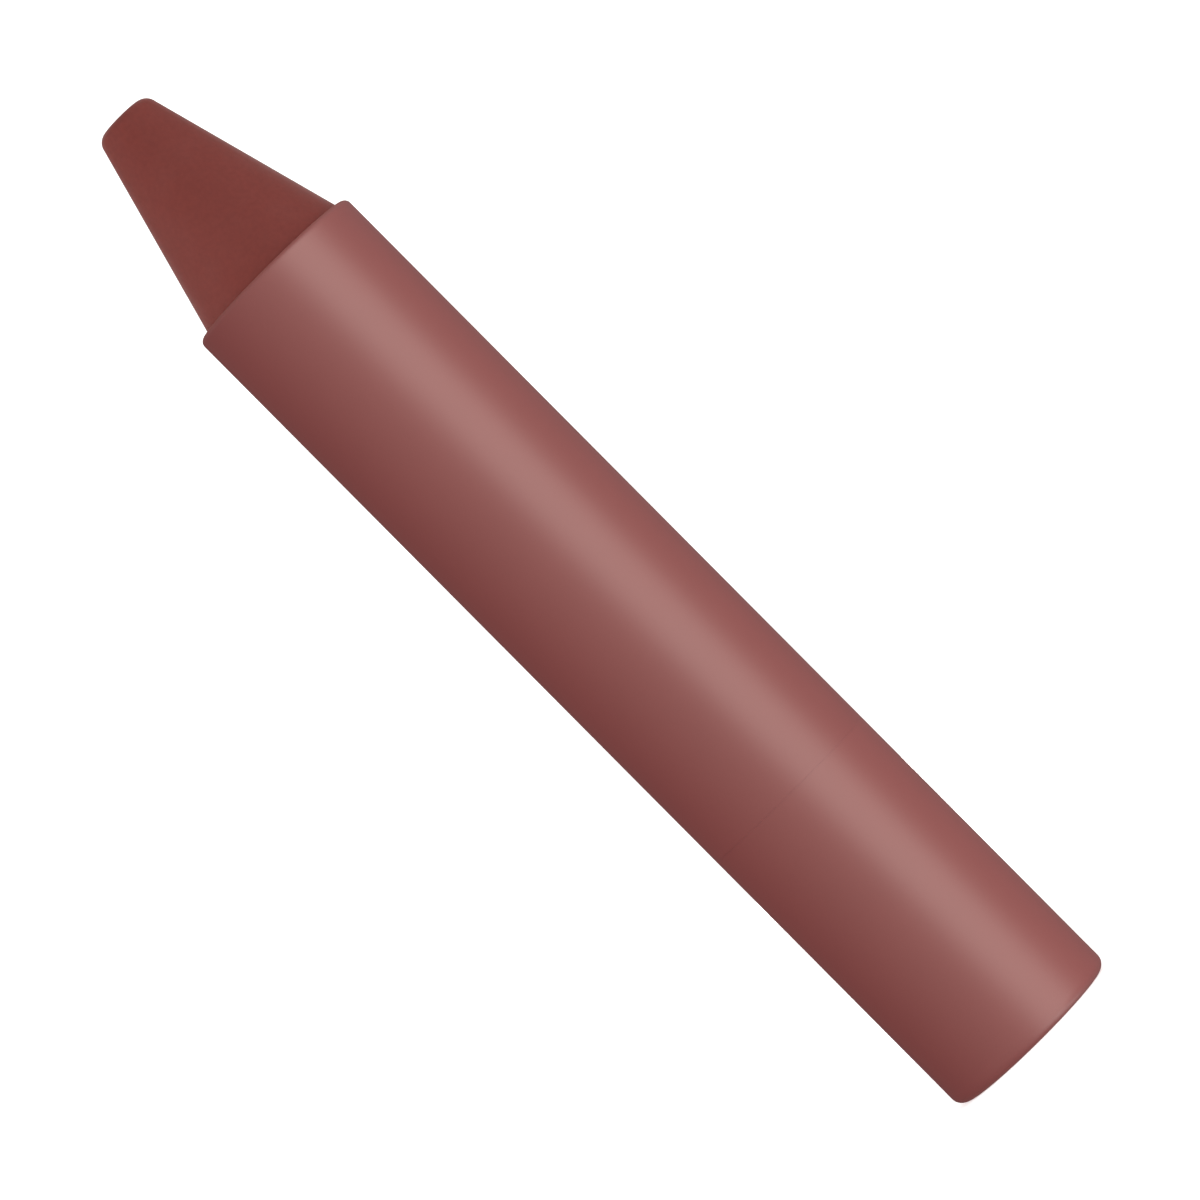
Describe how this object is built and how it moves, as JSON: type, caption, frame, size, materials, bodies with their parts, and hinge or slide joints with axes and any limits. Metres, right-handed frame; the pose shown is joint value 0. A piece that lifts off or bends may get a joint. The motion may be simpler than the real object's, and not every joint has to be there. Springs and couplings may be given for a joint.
{
  "type": "twist crayon",
  "caption": "Stubby twist crayon: a blunt matte crayon cone in a satin round barrel, fed out and drawn back by turning the rear of the barrel.",
  "frame": {"origin": "centre of the flat rear end face, on the barrel's axis", "axes": "+Z along the barrel from the rear end to the crayon's tip; X and Y across the barrel"},
  "size_m": [0.013, 0.013, 0.082],
  "materials": {
    "barrel_satin": "satin moulded, dusty rose-brown",
    "crayon_wax": "matte pressed crayon wax, dark brown-red",
    "screw_acetal": "natural acetal",
    "nut_acetal": "grey acetal",
    "sleeve_polypropylene": "natural polypropylene",
    "guide_acetal": "black acetal",
    "plunger_polypropylene": "natural polypropylene",
    "washer_nylon": "natural nylon",
    "spring_steel": "drawn spring steel",
    "ring_rubber": "moulded nitrile rubber",
    "ring_silicone": "moulded silicone rubber"
  },
  "bodies": {
    "front": {"front_barrel": "barrel_satin", "bearing_sleeve": "sleeve_polypropylene", "guide_bush": "guide_acetal", "retaining_ring": "spring_steel", "brake_ring": "ring_rubber", "thrust_washer": "washer_nylon"},
    "twist": {"twist_barrel": "barrel_satin", "drive_plug": "barrel_satin", "lead_screw": "screw_acetal"},
    "carrier": {"feed_nut": "nut_acetal", "plunger_tube": "plunger_polypropylene", "crayon_cup": "plunger_polypropylene", "cup_ring": "ring_silicone", "crayon": "crayon_wax"}
  },
  "joints": [
    {"name": "feed", "type": "slide", "parent": "front", "child": "carrier", "axis": [0, 0, 1], "range_m": [-0.0141, 0.0109]},
    {"name": "twist", "type": "hinge", "parent": "front", "child": "twist", "pos_m": [0, 0, 0.011], "axis": [0, 0, 1], "range_deg": [-846.1, 654.1]}
  ],
  "couplings": [
    {"joint": "twist", "follows": "feed", "rad_per_m": 1047.2}
  ]
}
